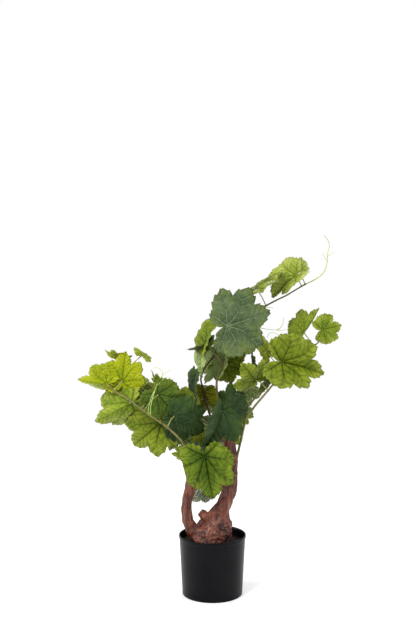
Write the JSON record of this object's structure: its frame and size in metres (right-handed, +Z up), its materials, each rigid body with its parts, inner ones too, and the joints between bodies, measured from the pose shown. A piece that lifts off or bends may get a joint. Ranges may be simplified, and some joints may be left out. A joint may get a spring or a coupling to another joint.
{
  "type": "potted artificial grapevine",
  "caption": "Faux grapevine in a round black pot: forked woody stump, thin canes, open masses of lobed leaves and a long curling tendril at the top.",
  "frame": {"origin": "centre of the pot's flat underside", "axes": "+Z up along the pot's axis, front of the plant toward -Y, the long top cane leaning to +X"},
  "size_m": [0.5054, 0.2508, 0.6958],
  "materials": {
    "pot": "satin",
    "filler": "matte",
    "bark": "matte",
    "cane": "satin",
    "leaves": "satin",
    "tendril": "satin"
  },
  "bodies": {
    "root": {"pot": "pot", "pot_filler": "filler", "trunk": "bark", "left_bough": "bark", "right_bough": "bark", "middle_stub": "bark", "fork_stub": "bark", "left_cane": "cane", "right_cane": "cane", "centre_cane": "cane", "inner_cane": "cane", "back_cane": "cane", "back_left_cane": "cane", "left_middle_leaves": "leaves", "left_lower_leaves": "leaves", "left_hanging_leaves": "leaves", "left_tip_leaves": "leaves", "right_lower_leaves": "leaves", "right_middle_leaves": "leaves", "right_tip_leaves": "leaves", "front_low_leaves": "leaves", "front_centre_leaves": "leaves", "centre_leaves": "leaves", "centre_left_leaves": "leaves", "inner_leaves": "leaves", "upper_big_leaves": "leaves", "upper_leaves": "leaves", "top_leaves": "leaves", "back_low_leaves": "leaves", "back_high_leaves": "leaves", "back_left_leaves": "leaves", "back_left_tip_leaves": "leaves", "back_right_leaves": "leaves", "top_tendril": "tendril"}
  },
  "joints": []
}
